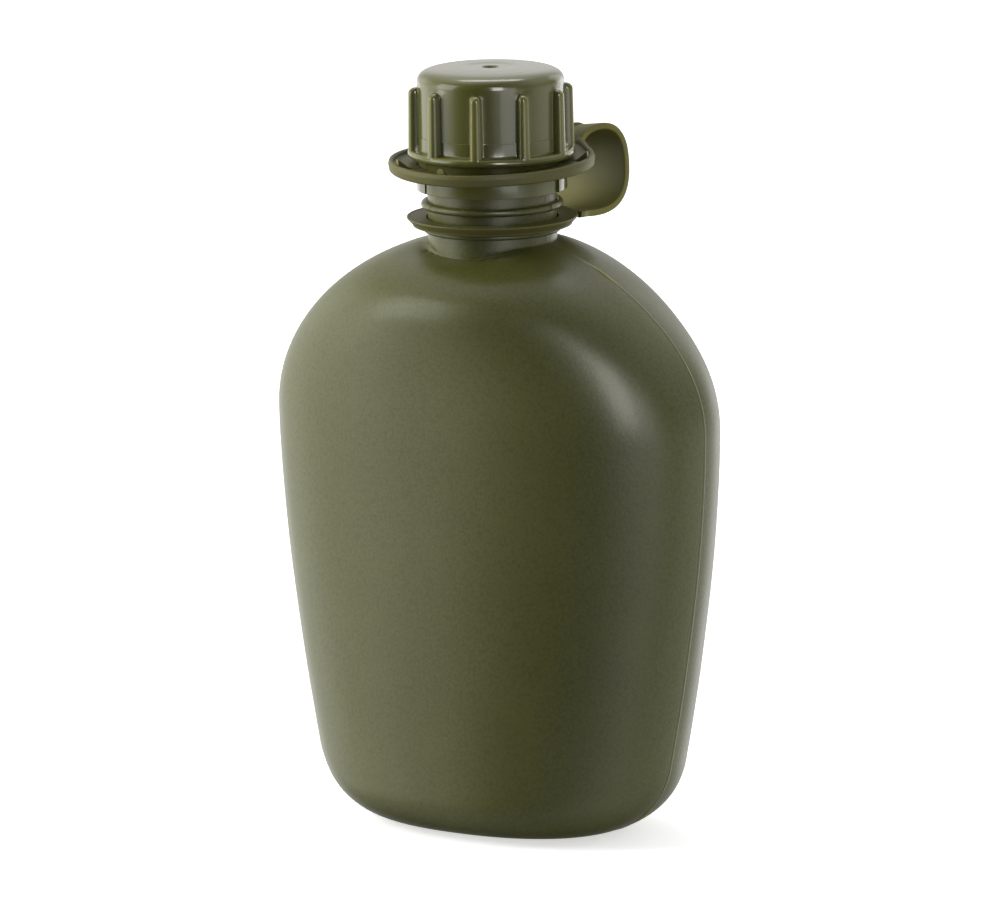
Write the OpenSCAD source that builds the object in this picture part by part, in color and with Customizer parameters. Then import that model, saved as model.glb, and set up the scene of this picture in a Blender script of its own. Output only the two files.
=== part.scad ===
// Field canteen: a flattened blow-moulded bottle, a ribbed screw cap with a gasket, and a retaining strap.
// Millimetres, +Z up. The neck's axis is the Z axis, the base rests on z = 0 and the front faces -Y.

/* [Body] */
// Width of the body at its widest
body_w = 134; // [110:1:165]
// Depth of the body in front of the neck's axis
body_front = 35; // [29:0.5:42]
// Depth of the body behind the neck's axis
body_back = 34.5; // [29:0.5:42]
// Height at which the shoulders end at the neck
shoulder_z = 161.5; // [135:0.5:195]
// Distance from the neck down to the widest place
shoulder_drop = 48.5; // [40:0.5:58]
// Width that the body loses from its widest place to its base, before the corners
base_taper = 34; // [20:1:44]
// Height of the rounded bottom corners at the sides
corner_h = 20; // [12:1:28]
// How far the bottom corners turn in at the sides
corner_in = 19.5; // [10:0.5:24]
// Height of the rounded bottom edge at the front and back
edge_h = 12; // [8:1:20]
// How far the bottom edge turns in at the front and back
edge_in = 15; // [6:0.5:18]
// Depth of the hollow in the back
back_hollow = 6; // [0:0.5:9]
// Thickness of the bottle's wall
wall = 2; // [1.5:0.1:2.6]

/* [Neck] */
// Radius of the neck below the cap
neck_r = 17.5; // [15:0.1:20]
// Bare neck between the bead that keeps the ring on and the cap
bare_neck = 3.05; // [2:0.05:8]
// Thickness of the neck's wall
neck_wall = 3; // [2.4:0.1:3.4]
// Section radius of the bead that the strap's ring rests on
seat_bead_r = 0.8; // [0.5:0.1:1]
// Section radius of the bead that keeps the strap's ring on
keep_bead_r = 1.05; // [0.8:0.05:1.3]

/* [Thread] */
// Rise of the thread in one turn
pitch = 5; // [4.6:0.1:6]
// How far the threads stand out of their walls
thread_h = 1.4; // [1.2:0.1:1.5]
// Turns of thread on the neck
neck_turns = 3; // [2.5:0.25:3.25]
// Turns of thread in the cap
cap_turns = 1.5; // [1:0.25:1.75]

/* [Cap] */
// Height of the cap with its skirt
cap_h = 33.4; // [29:0.1:42]
// Thickness of the cap's wall
cap_wall = 1.4; // [1.2:0.1:2]
// Thickness of the cap's roof
cap_roof = 2.4; // [1.8:0.1:3.2]
// Radius of the rounded top edge
cap_round = 5.5; // [3:0.5:7]
// Number of grip ribs
ribs = 10; // [6:1:14]
// Radius of a rib at its foot
rib_r = 1.7; // [1.2:0.1:2]
// Section radius of the bead round the foot of the ribs
base_bead_r = 1.15; // [0.9:0.05:1.4]
// Thickness of the gasket
gasket_t = 1.5; // [1:0.1:2.5]

/* [Strap] */
// Outer radius of the ring on the cap
cap_ring_r = 28; // [26:0.5:32]
// Tilt of the ring on the cap, lifted at the band
ring_tilt = 2.2; // [0:0.1:2.6]
// Outer radius of the ring on the neck
neck_ring_r = 23.2; // [22:0.1:25]
// Width of the band
band_w = 22; // [14:1:24]
// Thickness of the band
band_t = 1.8; // [1.2:0.1:2.2]
// Radius of the band's loop on its middle line
loop_r = 11.6; // [11:0.1:14]
// Direction of the band round the neck, from +X
band_turn = 78; // [0:1:359]

/* [Fit] */
// Gap between curved faces that move past each other
gap = 0.35; // [0.25:0.01:0.45]
// Gap between flat faces that move past each other
face_gap = 0.1; // [0.05:0.01:0.2]

/* [Hidden] */

olive = "#5c5f2e";
olive_dark = "#4f522b";
rubber_grey = "#3a3a36";

// Body
body_around = 44;
body_rings = 40;
inner_around = 32;
inner_rings = 28;
widest_z = shoulder_z - shoulder_drop;
shoulder_rise = 1.94;
shoulder_swell = 1.414;
side_bow = 1.65;
depth_drop = 20;
// How far below the shoulder's top the front closes on the neck
face_drop = 2.9;
depth_rise = 2.6;
depth_swell = 1.56;
front_taper = 0.05;
back_taper = 0.15;
square_round = 2.25;
back_shift = 1.2;
neck_blend = 40;
hollow_half = 46;
body_top_r = neck_r - neck_wall / 2;

// Neck
bore_r = neck_r - neck_wall;
upper_neck_r = neck_r - 0.7;
seat_z = shoulder_z + 2.9;
split_z = shoulder_z + 0.9;
neck_ring_z = seat_z + seat_bead_r + face_gap;
neck_ring_t = 2.5;
keep_z = neck_ring_z + neck_ring_t + keep_bead_r + 2.25;
cap_z = keep_z + keep_bead_r + bare_neck;
cap_top = cap_z + cap_h;
roof_z = cap_top - cap_roof;
gasket_z = roof_z - gasket_t - face_gap;
lip_z = gasket_z - face_gap;
neck_step_z = cap_z + 1.3;

// Thread
cap_bore_r = upper_neck_r + thread_h + gap;
thread_foot = 1.05;
thread_tip = 0.6;
thread_sink = 0.4;
thread_steps = 30;
run_out = 0.2;
neck_thread_z = lip_z - 7 - neck_turns * pitch;
cap_thread_z = neck_thread_z + pitch / 2;

// Cap
cap_r = cap_bore_r + cap_wall;
groove_r = cap_r - 0.1;
lip_r = groove_r + 0.6;
bead_z = cap_z + 9.9;
step_z = bead_z + 4.9;
bead_r = cap_r + 1.6;
crown_r = 160;
rib_top_z = cap_top - 5.2;
rib_tip_r = 1.45;
rib_at_r = cap_r + 0.85;
rib_phase = 4.5;
gate_r = 2.1;
gate_depth = 0.5;
slots = 3;
slot_w = 2.4;
slot_phase = 3;
gasket_r = cap_bore_r - 2 * gap;

// Strap
groove_low = cap_z + 4.6;
groove_high = bead_z - base_bead_r;
ring_floor_t = 1.5;
ring_mid_z = (groove_low + groove_high) / 2;
ring_bore_r = groove_r + 0.3;
rim_t = 1.5;
rim_low = ring_mid_z - 1.5;
// A rim too narrow to pass outside the cap's bead stays below it
rim_room = groove_high - gap - ring_mid_z - cap_ring_r * sin(ring_tilt);
rim_up = cap_ring_r - rim_t > bead_r + base_bead_r + gap ? 1.8 : min(1.8, rim_room);
rim_high = ring_mid_z + rim_up;
fin_at = [-128, -87, 21];
fin_l = min(2.6, cap_ring_r - rim_t - ring_bore_r - 0.2);
fin_h = min(1.1, rim_up - ring_floor_t / 2 + 0.05);
fin_root = 0.3;
fin_t = 1.6;
loop_x = max(cap_ring_r, neck_ring_r + 4.8) + 2.7;
loop_z = (ring_mid_z + neck_ring_z + neck_ring_t) / 2 + 1.6;
band_gap = 0.2;
lead_steps = 8;
arc_steps = 26;

function clamp01(v) = max(0, min(1, v));
function ease(v) = let (c = clamp01(v)) c * c * (3 - 2 * c);
function raise(v, e) = sign(v) * pow(abs(v), e);
// How far a rounded corner of height h turns in at height z
function corner(z, h, inward) = let (c = clamp01((h - z) / h)) inward * (1 - sqrt(1 - c * c));
// Share of the way from the widest place to the neck, shaped by rise and swell
function shoulder(z, from, top, rise, swell) =
    pow(1 - pow(clamp01((z - from) / (top - from)), rise), 1 / swell);
// Width lost on one side between the widest place and height z
function taper(z) = base_taper / 2 * pow(clamp01((widest_z - z) / widest_z), side_bow);
function half_width(z) =
    body_top_r
    + (body_w / 2 - body_top_r) * shoulder(z, widest_z, shoulder_z, shoulder_rise, shoulder_swell)
    - taper(z) - corner(z, corner_h, corner_in);
function half_depth(z, depth, share, drop) =
    body_top_r
    + (depth - body_top_r) * shoulder(z, shoulder_z - depth_drop, shoulder_z - drop, depth_rise, depth_swell)
    - share * taper(z) - corner(z, edge_h, edge_in);
function hollow(x, z) = back_hollow * ease((z - 10) / 35) * ease((shoulder_z - 22 - z) / 45)
    * pow(1 - pow(clamp01(abs(x) / hollow_half), 2), 2);
// One ring of the body at height z, moved inwards by inset, at height at_z
function body_ring(z, inset, at_z, around) = [
    for (i = [0 : around - 1])
        let (
            t = 360 * i / around,
            neck_share = ease((shoulder_z - z) / neck_blend),
            e = 2 / (2 + (square_round - 2) * neck_share),
            x = (half_width(z) - inset) * raise(cos(t), e),
            in_front = sin(t) < 0,
            depth = in_front
                ? half_depth(z, body_front, front_taper, face_drop)
                : half_depth(z, body_back, back_taper, 0),
            y = (depth - inset) * raise(sin(t), e) + back_shift * neck_share
        )
        [x, sin(t) > 0 ? y - hollow(x, z) : y, at_z]
];
function ring_height(i, count) = shoulder_z * (1 - cos(180 * i / count)) / 2;

// A closed skin through rings of points
module loft(rings) {
    n = len(rings[0]);
    m = len(rings);
    polyhedron(
        points = [for (r = rings) each r],
        faces = concat(
            [[for (j = [0 : n - 1]) j]],
            [[for (j = [n - 1 : -1 : 0]) (m - 1) * n + j]],
            [for (i = [0 : m - 2], j = [0 : n - 1]) [i * n + j, (i + 1) * n + j, (i + 1) * n + (j + 1) % n]],
            [for (i = [0 : m - 2], j = [0 : n - 1]) [i * n + j, (i + 1) * n + (j + 1) % n, i * n + (j + 1) % n]]
        )
    );
}

// A screw thread that rises from z with its crest towards side (1 outwards, -1 inwards) of the wall at radius r
module thread(r, side, z, turns) {
    steps = round(turns * thread_steps);
    loft([
        for (i = [0 : steps])
            let (
                a = 360 * i / thread_steps,
                u = i / steps,
                grow = ease(min(u, 1 - u) * turns / run_out),
                crest = r + side * thread_h * (0.06 + 0.94 * grow),
                root = r - side * thread_sink,
                h = z + pitch * i / thread_steps,
                near = side > 0 ? [root, thread_foot] : [crest, thread_tip],
                far = side > 0 ? [crest, thread_tip] : [root, thread_foot]
            )
            [for (p = [[near[0], -near[1]], near, far, [far[0], -far[1]]]) [p[0] * cos(a), p[0] * sin(a), h + p[1]]]
    ]);
}

// A bead of round section, round the Z axis
module bead(at_r, section_r, z) {
    translate([0, 0, z])
        rotate_extrude($fn = 96)
            translate([at_r, 0]) circle(r = section_r, $fn = 32);
}

module body_shell() {
    difference() {
        loft([
            for (i = [0 : body_rings])
                let (z = ring_height(i, body_rings)) body_ring(z, 0, z, body_around)
        ]);
        loft([
            for (i = [0 : inner_rings])
                let (z = ring_height(i, inner_rings), at_z = wall + z * (shoulder_z - 2 * wall) / shoulder_z)
                    body_ring(z, wall, at_z, inner_around)
        ]);
    }
}

module neck_outside() {
    low = shoulder_z - 9;
    slope_h = 1.5;
    translate([0, 0, low]) cylinder(r = neck_r, h = neck_step_z - low, $fn = 96);
    translate([0, 0, neck_step_z]) cylinder(r1 = neck_r, r2 = upper_neck_r, h = slope_h, $fn = 96);
    translate([0, 0, neck_step_z + slope_h]) cylinder(r = upper_neck_r, h = lip_z - neck_step_z - slope_h, $fn = 96);
    bead(neck_r + 0.5, seat_bead_r, seat_z);
    bead(neck_r + 0.75, keep_bead_r, keep_z);
    thread(upper_neck_r, 1, neck_thread_z, neck_turns);
}

module whole_bottle() {
    difference() {
        union() {
            body_shell();
            neck_outside();
        }
        translate([0, 0, shoulder_z - 12]) cylinder(r = bore_r, h = lip_z - shoulder_z + 20, $fn = 96);
    }
}

// Everything above the plane where the neck is parted from the body, so that each gets collision pieces of its own
module above_split() {
    translate([0, 0, split_z]) cylinder(r = neck_r + 20, h = lip_z - split_z + 10, $fn = 96);
}

module bottle() {
    color(olive)
        difference() {
            whole_bottle();
            above_split();
        }
}

module bottle_neck() {
    color(olive)
        intersection() {
            whole_bottle();
            above_split();
        }
}

// Half section of the cap's outside
module cap_outline() {
    translate([0, cap_z]) square([lip_r, groove_low - cap_z]);
    translate([0, groove_low]) square([groove_r, groove_high - groove_low]);
    translate([0, groove_high]) square([cap_r + 0.1, step_z - groove_high]);
    translate([0, step_z]) square([cap_r, cap_top - cap_round - step_z]);
    translate([0, cap_top - cap_round]) square([cap_r - cap_round, cap_round]);
    translate([cap_r - cap_round, cap_top - cap_round]) circle(r = cap_round, $fn = 64);
}

module grip_rib() {
    translate([rib_at_r, 0, bead_z]) {
        cylinder(r1 = rib_r, r2 = rib_tip_r, h = rib_top_z - rib_tip_r - bead_z, $fn = 32);
        translate([0, 0, rib_top_z - rib_tip_r - bead_z]) sphere(r = rib_tip_r, $fn = 32);
    }
}

module screw_cap() {
    color(olive)
        difference() {
            union() {
                difference() {
                    union() {
                        intersection() {
                            rotate_extrude($fn = 96) cap_outline();
                            translate([0, 0, cap_top - crown_r]) sphere(r = crown_r, $fn = 96);
                        }
                        bead(bead_r, base_bead_r, bead_z);
                        for (i = [0 : ribs - 1])
                            rotate(rib_phase + i * 360 / ribs) grip_rib();
                    }
                    translate([0, 0, cap_z - 1]) cylinder(r = cap_bore_r, h = roof_z - cap_z + 1, $fn = 96);
                }
                thread(cap_bore_r, -1, cap_thread_z, cap_turns);
            }
            for (i = [0 : slots - 1])
                rotate(slot_phase + i * 360 / slots)
                    translate([cap_bore_r - 1, -slot_w / 2, cap_z - 1]) cube([6, slot_w, groove_low - cap_z + 1.4]);
            translate([0, 0, cap_top - gate_depth]) cylinder(r = gate_r, h = 2, $fn = 48);
        }
}

module cap_gasket() {
    color(rubber_grey)
        translate([0, 0, gasket_z]) cylinder(r = gasket_r, h = gasket_t, $fn = 96);
}

module ring_fin() {
    translate([cap_ring_r - rim_t - fin_l, fin_t / 2, ring_mid_z + ring_floor_t / 2])
        rotate([90, 0, 0])
            linear_extrude(height = fin_t)
                polygon([[0, -0.2], [fin_l + fin_root, -0.2], [fin_l + fin_root, fin_h]]);
}

module strap_cap_ring() {
    color(olive_dark)
        translate([0, 0, ring_mid_z]) rotate(band_turn) rotate([0, -ring_tilt, 0]) rotate(-band_turn)
            translate([0, 0, -ring_mid_z]) {
                rotate_extrude($fn = 96) {
                    translate([ring_bore_r, ring_mid_z - ring_floor_t / 2])
                        square([cap_ring_r - ring_bore_r - rim_t / 2, ring_floor_t]);
                    polygon([
                        [cap_ring_r - rim_t, rim_low + 0.5],
                        [cap_ring_r - 0.9, rim_low],
                        [cap_ring_r - 0.3, rim_low + 0.5],
                        [cap_ring_r, rim_high - 1],
                        [cap_ring_r - 0.4, rim_high],
                        [cap_ring_r - rim_t + 0.3, rim_high],
                        [cap_ring_r - rim_t, rim_high - 0.4]
                    ]);
                }
                for (a = fin_at)
                    rotate(a) ring_fin();
            }
}

module strap_neck_ring() {
    bore = neck_r + gap;
    top = neck_ring_z + neck_ring_t;
    color(olive_dark)
        rotate_extrude($fn = 96)
            polygon([
                [bore, neck_ring_z],
                [neck_ring_r - 1.6, neck_ring_z],
                [neck_ring_r, top - 0.4],
                [neck_ring_r, top],
                [bore, top]
            ]);
}

// A point on the curve that leaves p0 towards p1 and reaches p3 from p2
function bezier(p0, p1, p2, p3, u) =
    p0 * pow(1 - u, 3) + p1 * 3 * u * pow(1 - u, 2) + p2 * 3 * u * u * (1 - u) + p3 * pow(u, 3);
// Middle line of the band, as distance from the neck's axis and height: from the neck's ring, round the loop, to the cap's
function band_line() =
    let (
        low_end = [neck_ring_r - 1.2, neck_ring_z + neck_ring_t - band_t / 2],
        high_end = [cap_ring_r + 0.1, ring_mid_z + cap_ring_r * sin(ring_tilt) + 0.1],
        low_arc = [loop_x + loop_r * cos(-94), loop_z + loop_r * sin(-94)],
        high_arc = [loop_x + loop_r * cos(84), loop_z + loop_r * sin(84)]
    )
    concat(
        [for (i = [0 : lead_steps - 1]) bezier(low_end, low_end + [2.5, 0], low_arc - [3, -0.2], low_arc, i / lead_steps)],
        [for (i = [0 : arc_steps]) let (a = -94 + 178 * i / arc_steps) [loop_x + loop_r * cos(a), loop_z + loop_r * sin(a)]],
        [for (i = [1 : lead_steps]) bezier(high_arc, high_arc - [2, 0], high_end + [1.2, 2.4], high_end, i / lead_steps)]
    );
// The line's points moved sideways by d
function beside(line, d) = [
    for (i = [0 : len(line) - 1])
        let (
            before = line[max(i - 1, 0)],
            after = line[min(i + 1, len(line) - 1)],
            along = (after - before) / norm(after - before)
        )
        line[i] + d * [along[1], -along[0]]
];

module strap_band() {
    line = band_line();
    left = beside(line, band_t / 2);
    right = beside(line, -band_t / 2);
    color(olive_dark)
        difference() {
            rotate(band_turn)
                translate([0, band_w / 2, 0])
                    rotate([90, 0, 0])
                        linear_extrude(height = band_w)
                            polygon(concat(left, [for (i = [len(right) - 1 : -1 : 0]) right[i]]));
            translate([0, 0, ring_mid_z - 4]) cylinder(r = cap_ring_r + band_gap, h = 12, $fn = 96);
            translate([0, 0, neck_ring_z - 3]) cylinder(r = neck_ring_r - 0.6, h = neck_ring_t + 6, $fn = 96);
        }
}

bottle();
bottle_neck();
screw_cap();
cap_gasket();
strap_cap_ring();
strap_band();
strap_neck_ring();
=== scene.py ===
"""Field canteen: a flattened plastic bottle with a ribbed screw cap, a gasket and a looped retaining strap.

Shapes are worked out in millimetres as grids of points and become metres when a mesh is made.
The neck's axis is the Z axis, the base rests on z = 0 and the front faces -Y.
"""

import math

import bmesh
import bpy
import numpy as np
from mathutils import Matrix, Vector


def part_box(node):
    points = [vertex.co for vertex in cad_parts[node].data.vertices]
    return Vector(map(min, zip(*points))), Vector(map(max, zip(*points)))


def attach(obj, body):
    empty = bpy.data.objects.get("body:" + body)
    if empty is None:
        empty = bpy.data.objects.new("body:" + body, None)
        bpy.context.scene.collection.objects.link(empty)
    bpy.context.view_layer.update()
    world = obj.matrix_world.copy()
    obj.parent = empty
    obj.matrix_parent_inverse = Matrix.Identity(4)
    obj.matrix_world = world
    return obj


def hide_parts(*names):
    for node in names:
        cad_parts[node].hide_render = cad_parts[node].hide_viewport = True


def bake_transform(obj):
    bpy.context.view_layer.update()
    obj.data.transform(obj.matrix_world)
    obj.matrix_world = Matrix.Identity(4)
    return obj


bl_info = {
    "name": "Field Canteen",
    "version": (1, 0, 0),
    "blender": (4, 5, 0),
    "location": "3D View > Sidebar > Canteen",
    "description": "Builds a field canteen and its studio around the packed frame",
    "category": "Add Mesh",
}

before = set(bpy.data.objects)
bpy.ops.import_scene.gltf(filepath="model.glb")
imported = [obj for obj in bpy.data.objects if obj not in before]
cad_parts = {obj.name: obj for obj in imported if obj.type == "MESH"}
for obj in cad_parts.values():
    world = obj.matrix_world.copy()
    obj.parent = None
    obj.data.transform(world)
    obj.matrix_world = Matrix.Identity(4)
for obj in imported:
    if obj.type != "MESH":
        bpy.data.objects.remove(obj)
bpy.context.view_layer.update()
MM = 0.001
TURN = 2 * math.pi


def cad_box(node):
    """Lowest and highest corner of a node of the frame, in millimetres."""
    low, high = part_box(node)
    return np.array(low) / MM, np.array(high) / MM


# -------- sizes, in millimetres

# Bottle
BOTTLE_LOW, BOTTLE_HIGH = cad_box("bottle")
LIP_Z = cad_box("bottle_neck")[1][2]
SEAM_H, WAVE_H = 0.11, 0.035
BODY_W = BOTTLE_HIGH[0] - BOTTLE_LOW[0] - 2 * SEAM_H
BODY_FRONT = 35.0
BODY_BACK = 34.5
BACK_SHIFT = 1.2
SHOULDER_Z = 161.5
WIDEST_Z = 113.0
BASE_TAPER = 34.0
CORNER_H, CORNER_IN = 20.0, 19.5
EDGE_H, EDGE_IN = 12.0, 15.0
BACK_HOLLOW, HOLLOW_HALF = 6.0, 46.0
WALL = 2.0
SHOULDER_RISE, SHOULDER_SWELL = 1.94, 1.414
SIDE_BOW = 1.65
DEPTH_DROP, FACE_DROP, DEPTH_RISE, DEPTH_SWELL = 20.0, 3.2, 2.6, 1.56
FRONT_TAPER, BACK_TAPER = 0.05, 0.15
SQUARE_ROUND = 2.25
NECK_BLEND = 40.0
CREASE_REACH, CREASE_SPREAD = 6.0, math.radians(32)
# Flash on the right parting line: height, half length and share of its full height
FLASHES = ((154.6, 3.4, 1.0), (6.5, 4.0, 0.55), (131, 1.2, 0.35))
NECK_R, UPPER_NECK_R, BORE_R = 17.5, 16.8, 14.5
BODY_TOP_R = NECK_R - 1.5
THREAD_Z, THREAD_PITCH, THREAD_H = LIP_Z - 22.0, 5.0, 1.4

# Cap
CAP_LOW, CAP_HIGH = cad_box("screw_cap")
CAP_Z, CAP_TOP = CAP_LOW[2], CAP_HIGH[2]
CAP_R, CAP_BORE_R = 19.95, 18.55
GROOVE_R, LIP_R = 19.85, 20.45
FLANGE_R = 22.7
GROOVE_LOW, GROOVE_HIGH = CAP_Z + 4.6, CAP_Z + 8.75
FLANGE_TOP = GROOVE_HIGH + 2.3
STEP_Z = CAP_Z + 14.8
# Crown: radius of its dome, how far its rim falls and by which power, dish round the gate, lift and rim of the dome
CROWN_R, CROWN_FALL, CROWN_POWER, CROWN_DISH, CROWN_LIFT, CROWN_EDGE = 200.0, 1.9, 12, 0.4, 0.11, 18.6
MARK_R = 13.95
ROOF_Z = CAP_TOP - 2.4
RIBS, RIB_PHASE = 10, math.radians(4.5)
RIB_HALF, RIB_RISE, RIB_TOP, RIB_TIP, RIB_POWER = 1.68, 2.68, CAP_TOP - 5.2, 1.55, 2.6
SLOTS, SLOT_WIDTHS, SLOT_PHASE, SLOT_TOP = 3, (2.4, 2.4, 1.0), math.radians(3), CAP_Z + 5.0
GATE_R, GATE_DEPTH = 2.1, 0.5

# Gasket
GASKET_LOW, GASKET_HIGH = cad_box("cap_gasket")

# Strap
NECK_RING_LOW, NECK_RING_HIGH = cad_box("strap_neck_ring")
NECK_RING_BORE = 17.85
RING_MID_Z = (GROOVE_LOW + GROOVE_HIGH) / 2
RING_BORE, RING_R = 20.15, 28.0
RING_TILT, RING_TURN = math.radians(2.2), math.radians(78)
RING_BEND = 0.9
FIN_R, FIN_HALF, FIN_RISE = 25.5, 1.1, 2.5
FIN_TURNS = np.radians([-128.0, -87.0, 21.0])
BAND_T, BAND_FAR, END_TURN = 1.8, 7.0, math.radians(6)
RIDGE_W, RIDGE_K = -3.0, 0.86


# -------- light

# Soft patches of the surround: elevation in degrees, sharpness, and the strength at each turn right of the camera
GLOWS = [
    (-45, 8, {-90: 0.52, 0: 0.33, 45: 0.6, 90: 0.39}),
    (-12, 26, {-160: 1.39, -140: 0.53, -120: 1.37, -100: 0.5, -80: 1.4, 20: 0.28, 40: 0.86}),
    (-12, 26, {60: 0.07, 80: 0.53, 100: 0.58, 120: 0.2, 140: 1.8, 160: 0.9}),
    (14, 26, {-180: 0.6, -140: 0.87, -120: 0.87, 20: 0.72, 80: 0.17, 140: 0.26, 160: 0.24}),
    (42, 10, {-180: 0.66, -108: 0.29, 36: 0.12, 72: 0.37, 108: 0.68}),
    (70, 10, {-180: 0.7, -108: 0.92}),
]
# Soft lights: name, turn right of the camera in degrees, height, distance, size, power and what they light
SOFTBOXES = [
    ("key softbox", -96, 0.6, 1.5, (0.9, 1.2), 29.0, "diffuse"),
    ("key sheen", -75, 0.6, 1.5, (0.9, 1.2), 10.5, "glossy"),
    ("fill softbox", -95, 0.35, 1.5, (0.6, 0.7), 0.8, "both"),
    ("right softbox", 92, 0.5, 1.5, (0.9, 1.2), 7.5, "diffuse"),
    ("narrow strip", 11, 0.6, 1.6, (0.45, 1.0), 12.0, "glossy"),
    ("wide strip", 27, 0.3, 1.6, (0.7, 0.9), 2.6, "glossy"),
    ("back softbox", 140, 0.6, 1.6, (0.8, 1.2), 2.2, "both"),
    ("high softbox", 180, 1.6, 0.7, (0.9, 0.3), 4.0, "glossy"),
]
# Point that the soft lights face, in metres
AIM = np.array([0, 0, 0.1])
# Height of the middle of the view and its shift to the right and up, in millimetres
VIEW_Z, VIEW_SHIFT = 105, (1.087, -2.04)
# Half size of the floor in metres, its colour and its own glow
FLOOR_HALF, FLOOR_COLOUR, FLOOR_GLOW = 4.0, (0.92, 0.92, 0.92, 1), 0.56
WHITE = (1, 1, 1, 1)


# -------- settings a user would change


def length_setting(name, description, default, low=0.0):
    """Length in metres, with its smallest value."""
    return bpy.props.FloatProperty(name=name, description=description, default=default, min=low, unit="LENGTH")


def angle_setting(name, description, degrees):
    """Angle, given in degrees and kept in radians."""
    default = math.radians(degrees)
    return bpy.props.FloatProperty(name=name, description=description, default=default, subtype="ANGLE")


def colour_setting(name, description, default):
    """Colour as linear red, green and blue."""
    return bpy.props.FloatVectorProperty(name=name, description=description, default=default, size=3, subtype="COLOR")


class CanteenShapeSettings(bpy.types.PropertyGroup):
    flash_height: length_setting(
        "Flash height", "How far the parting line's flash stands out near the shoulder", 0.32 * MM
    )
    base_dish: length_setting("Base dish", "How far the middle of the base is raised", 0.9 * MM)
    band_width: length_setting("Band width", "Width of the strap's band", 22.0 * MM, 10 * MM)
    band_low_turn: angle_setting("Band at the neck", "Direction in which the band leaves the neck's ring", 72.3)
    band_high_turn: angle_setting("Band at the cap", "Direction in which the band leaves the cap's ring", 88.3)
    band_twist: angle_setting("Band twist", "How far the loop leans away from the front", 12)


class CanteenFinishSettings(bpy.types.PropertyGroup):
    body_colour: colour_setting("Body", "Colour of the bottle's plastic", (0.088, 0.092, 0.0185))
    cap_colour: colour_setting("Cap", "Colour of the cap's plastic", (0.112, 0.114, 0.027))
    strap_colour: colour_setting("Strap", "Colour of the strap's plastic", (0.101, 0.096, 0.025))
    # Painted light: a lighter colour on thin edges and rib crests, standing in for light shining through the plastic
    edge_glow_colour: colour_setting(
        "Thin edges", "Colour where the plastic is thin enough to let light through", (0.23, 0.215, 0.035)
    )
    # The flash is a real raised fin; its bright yellow colour is a painted glow of light shining through it
    flash_glow_colour: colour_setting("Flash", "Colour of the flash on the bottle's parting line", (0.36, 0.33, 0.05))
    gasket_colour: colour_setting("Gasket", "Colour of the gasket's rubber", (0.035, 0.035, 0.031))
    grain_size: length_setting("Grain size", "Size of the leather grain's cells on the bottle", 0.85 * MM, 0.1 * MM)
    grain_depth: length_setting("Grain depth", "Depth of the leather grain on the bottle", 0.045 * MM)


class CanteenStageSettings(bpy.types.PropertyGroup):
    azimuth: angle_setting("Azimuth", "Direction of the camera, turned from the front towards +X", 33.94)
    elevation: angle_setting("Elevation", "Height of the camera above the horizon", 10.8)
    roll: angle_setting("Roll", "Turn of the camera about its own view", 0.885)
    distance: length_setting("Distance", "Distance from the camera to the middle of the canteen", 2.793)
    lens: bpy.props.FloatProperty(
        name="Lens", description="Focal length in millimetres on a 36 mm sensor", default=369.95
    )


# -------- small formulas


def unit(v):
    """v kept within 0 and 1."""
    return np.clip(v, 0, 1)


def ease(v):
    """Smooth step: v kept within 0 and 1, then 3 v squared minus 2 v cubed."""
    c = unit(v)
    return c * c * (3 - 2 * c)


def raise_to(v, power):
    """Sign of v times its size to a power."""
    return np.sign(v) * np.abs(v) ** power


def hump(v, middle, half):
    """Bell that is 1 at middle and falls to 0 half away from it: (1 - x squared) squared."""
    x = unit(np.abs(v - middle) / half)
    return (1 - x * x) ** 2


def angle_off(a, b):
    """Signed difference between two angles, within half a turn."""
    return (a - b + math.pi) % TURN - math.pi


def rounded(corners, radii, steps=5, closed=False):
    """Outline through corners in which each corner is an arc of its radius.

    The arc touches both sides at radius * tan(half the turning angle) from the corner, unless a side is too short for
    it. A radius of 0 keeps the corner sharp.
    """
    pts = np.array(corners, float)
    count = len(pts)
    out = []
    for i in range(count):
        if not closed and i in (0, count - 1):
            out.append(pts[i][None])
            continue
        before, here, after = pts[i - 1], pts[i], pts[(i + 1) % count]
        u, v = before - here, after - here
        long_u, long_v = np.linalg.norm(u), np.linalg.norm(v)
        u, v = u / long_u, v / long_v
        turning = math.pi - math.acos(np.clip(u @ v, -1, 1))
        reach = radii[i] * math.tan(turning / 2)
        if radii[i] <= 0 or turning < 1e-3:
            out.append(here[None])
            continue
        share = min(1.0, 0.48 * min(long_u, long_v) / reach)
        reach, radius = reach * share, radii[i] * share
        middle = here + (u + v) / np.linalg.norm(u + v) * radius / math.cos(turning / 2)
        start, end = here + u * reach - middle, here + v * reach - middle
        s = np.linspace(0, 1, steps + 1)[:, None]
        arc = (np.sin((1 - s) * turning) * start + np.sin(s * turning) * end) / math.sin(turning)
        out.append(middle + arc)
    return np.vstack(out)


# -------- meshes


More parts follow.
